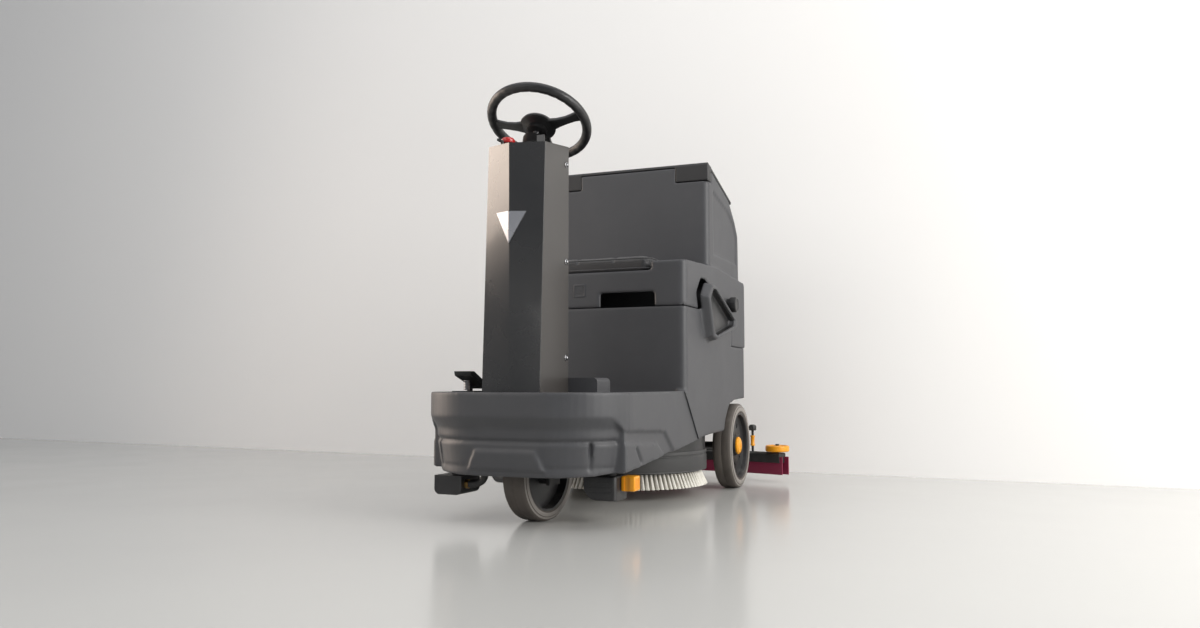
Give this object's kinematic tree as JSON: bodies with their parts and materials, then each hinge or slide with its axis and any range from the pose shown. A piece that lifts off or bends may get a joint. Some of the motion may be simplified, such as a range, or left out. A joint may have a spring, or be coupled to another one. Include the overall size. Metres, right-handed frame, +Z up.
{
  "type": "ride-on floor scrubber",
  "caption": "Ride-on floor scrubber with a steered drive wheel, disc brush deck, rear squeegee, tilting seat and tank body, and hinged tank lid.",
  "frame": {"origin": "centre of the bounding box on the floor", "axes": "+Z up, -Y towards the machine's front, +X to the driver's left"},
  "size_m": [0.894, 1.567, 1.1837],
  "materials": {
    "body_plastic": "fine moulded texture",
    "lid_plastic": "satin",
    "black_plastic": "satin",
    "mat_rubber": "ribbed",
    "column_paint": "satin black",
    "column_side_paint": "satin gray",
    "frame_paint": "satin",
    "housing_paint": "satin",
    "band_plastic": "matte",
    "steel": "machined",
    "chrome": "bright",
    "badge_metal": "satin",
    "brass": "satin",
    "motor_metal": "cast",
    "battery_case": "matte",
    "hose_rubber": "matte",
    "yellow_plastic": "semi gloss",
    "post_plastic": "satin",
    "tyre_rubber": "matte",
    "rim_plastic": "satin",
    "wheel_grip": "soft touch",
    "seat_leather": "soft",
    "bristle": "matte",
    "blade_rubber": "matte",
    "key_metal": "plated",
    "stop_red": "gloss"
  },
  "bodies": {
    "chassis": {"chassis_frame": "frame_paint", "solution_tank": "body_plastic", "floor_mat": "mat_rubber", "column_base_cover": "body_plastic", "column_front_cover": "column_paint", "column_side_cover": "column_side_paint", "dashboard": "black_plastic", "column_bolts": "chrome", "column_badge": "badge_metal", "column_post": "frame_paint", "motor_controller": "motor_metal", "steering_bearing": "steel", "steering_chain": "steel", "pedal_base": "black_plastic", "pedal_spring": "steel", "battery_pack": "battery_case", "filter_bowl": "body_plastic", "water_pump": "black_plastic", "pump_fitting": "brass", "solution_hose": "hose_rubber", "tank_hinge": "frame_paint"},
    "steering": {"steering_wheel": "wheel_grip", "steering_stub_shaft": "steel"},
    "steering_column_shaft": {"steering_shaft": "steel"},
    "fork": {"steering_fork": "frame_paint", "large_sprocket": "steel", "drive_motor": "motor_metal"},
    "front_wheel": {"front_tyre": "tyre_rubber", "front_rim": "rim_plastic"},
    "rear_wheel_left": {"rear_tyre_left": "tyre_rubber", "rear_rim_left": "rim_plastic", "rear_hub_cap_left": "yellow_plastic"},
    "rear_wheel_right": {"rear_tyre_right": "tyre_rubber", "rear_rim_right": "rim_plastic", "rear_hub_cap_right": "yellow_plastic"},
    "pedal": {"accelerator_pedal": "black_plastic"},
    "key": {"ignition_key": "key_metal"},
    "stop_button": {"emergency_stop": "stop_red"},
    "lever": {"direction_lever": "black_plastic"},
    "valve": {"water_valve": "yellow_plastic"},
    "brush_deck": {"brush_housing": "housing_paint", "splash_band": "band_plastic", "brush_motor": "motor_metal"},
    "brush": {"brush_disc": "black_plastic", "brush_bristles": "bristle"},
    "lower_arm": {"squeegee_lower_arm": "frame_paint"},
    "upper_arm": {"squeegee_upper_arm": "frame_paint"},
    "squeegee": {"squeegee_bracket": "frame_paint", "squeegee_body": "frame_paint", "squeegee_blades": "blade_rubber", "squeegee_posts": "post_plastic"},
    "roller_left": {"squeegee_roller_left": "yellow_plastic"},
    "roller_right": {"squeegee_roller_right": "yellow_plastic"},
    "upper_body": {"recovery_tank": "body_plastic", "seat_cushion": "seat_leather", "vacuum_motor": "motor_metal", "float_cage": "black_plastic", "suction_inlet": "black_plastic"},
    "lid": {"tank_lid": "lid_plastic"},
    "fill_plug": {"fill_cap": "black_plastic"}
  },
  "joints": [
    {"name": "fork_steer", "type": "hinge", "parent": "chassis", "child": "fork", "pos_m": [0, -0.5615, 0.27], "axis": [0, 0, 1], "range_deg": [-72, 88]},
    {"name": "shaft_turn", "type": "hinge", "parent": "chassis", "child": "steering_column_shaft", "pos_m": [0, -0.6655, 0.6], "axis": [0, 0, 1], "range_deg": [-216, 264]},
    {"name": "wheel_turn", "type": "hinge", "parent": "chassis", "child": "steering", "pos_m": [0, -0.5695, 1.104], "axis": [0, 0.4848, 0.8746], "range_deg": [-216, 264]},
    {"name": "front_roll", "type": "hinge", "parent": "fork", "child": "front_wheel", "pos_m": [0, -0.5615, 0.125], "axis": [0.9903, -0.1392, 0], "continuous": true},
    {"name": "rear_roll_left", "type": "hinge", "parent": "chassis", "child": "rear_wheel_left", "pos_m": [0.287, 0.4385, 0.15], "axis": [1, 0, 0], "continuous": true},
    {"name": "rear_roll_right", "type": "hinge", "parent": "chassis", "child": "rear_wheel_right", "pos_m": [-0.287, 0.4385, 0.15], "axis": [1, 0, 0], "continuous": true},
    {"name": "pedal_press", "type": "hinge", "parent": "chassis", "child": "pedal", "pos_m": [-0.18, -0.5775, 0.366], "axis": [1, 0, 0], "range_deg": [0, 15], "stiffness_Nm_per_rad": 1.5, "springref_deg": -14.32, "deforming": ["pedal_spring"]},
    {"name": "key_turn", "type": "hinge", "parent": "chassis", "child": "key", "pos_m": [0.048, -0.6575, 1.02], "axis": [0, 0, 1], "range_deg": [0, 60]},
    {"name": "stop_press", "type": "slide", "parent": "chassis", "child": "stop_button", "axis": [0, 0, -1], "range_m": [0, 0.006], "stiffness_N_per_m": 400, "springref_m": -0.004},
    {"name": "lever_turn", "type": "hinge", "parent": "chassis", "child": "lever", "pos_m": [-0.046, -0.7015, 1.012], "axis": [0, 0, 1], "range_deg": [-20, 20]},
    {"name": "valve_turn", "type": "hinge", "parent": "chassis", "child": "valve", "pos_m": [0.256, -0.5295, 0.107], "axis": [1, 0, 0], "range_deg": [0, 90]},
    {"name": "brush_lift", "type": "slide", "parent": "chassis", "child": "brush_deck", "axis": [0, 0, 1], "range_m": [-0.038, 0]},
    {"name": "brush_spin", "type": "hinge", "parent": "brush_deck", "child": "brush", "pos_m": [0, 0.1285, 0.1], "axis": [0, 0, 1], "continuous": true},
    {"name": "squeegee_lift", "type": "hinge", "parent": "chassis", "child": "lower_arm", "pos_m": [0, 0.5305, 0.168], "axis": [-1, 0, 0], "range_deg": [0, 10]},
    {"name": "squeegee_level", "type": "hinge", "parent": "lower_arm", "child": "squeegee", "pos_m": [0, 0.6805, 0.148], "axis": [-1, 0, 0], "range_deg": [-10, 0]},
    {"name": "upper_arm_swing", "type": "hinge", "parent": "chassis", "child": "upper_arm", "pos_m": [0, 0.5305, 0.214], "axis": [-1, 0, 0], "range_deg": [0, 10]},
    {"name": "roller_turn_left", "type": "hinge", "parent": "squeegee", "child": "roller_left", "pos_m": [0.402, 0.68232, 0.126], "axis": [0, 0, 1], "continuous": true},
    {"name": "roller_turn_right", "type": "hinge", "parent": "squeegee", "child": "roller_right", "pos_m": [-0.402, 0.68232, 0.126], "axis": [0, 0, 1], "continuous": true},
    {"name": "tank_tilt", "type": "hinge", "parent": "chassis", "child": "upper_body", "pos_m": [0, 0.6285, 0.496], "axis": [-1, 0, 0], "range_deg": [0, 60]},
    {"name": "lid_open", "type": "hinge", "parent": "upper_body", "child": "lid", "pos_m": [0, 0.4665, 1.044], "axis": [-1, 0, 0], "range_deg": [0, 85]},
    {"name": "fill_cap_turn", "type": "hinge", "parent": "upper_body", "child": "fill_plug", "pos_m": [0.306, 0.3285, 0.65], "axis": [1, 0, 0], "continuous": true}
  ],
  "couplings": [
    {"joint": "shaft_turn", "follows": "fork_steer", "ratio": 3},
    {"joint": "wheel_turn", "follows": "fork_steer", "ratio": 3},
    {"joint": "squeegee_level", "follows": "squeegee_lift", "ratio": -1},
    {"joint": "upper_arm_swing", "follows": "squeegee_lift", "ratio": 1}
  ]
}
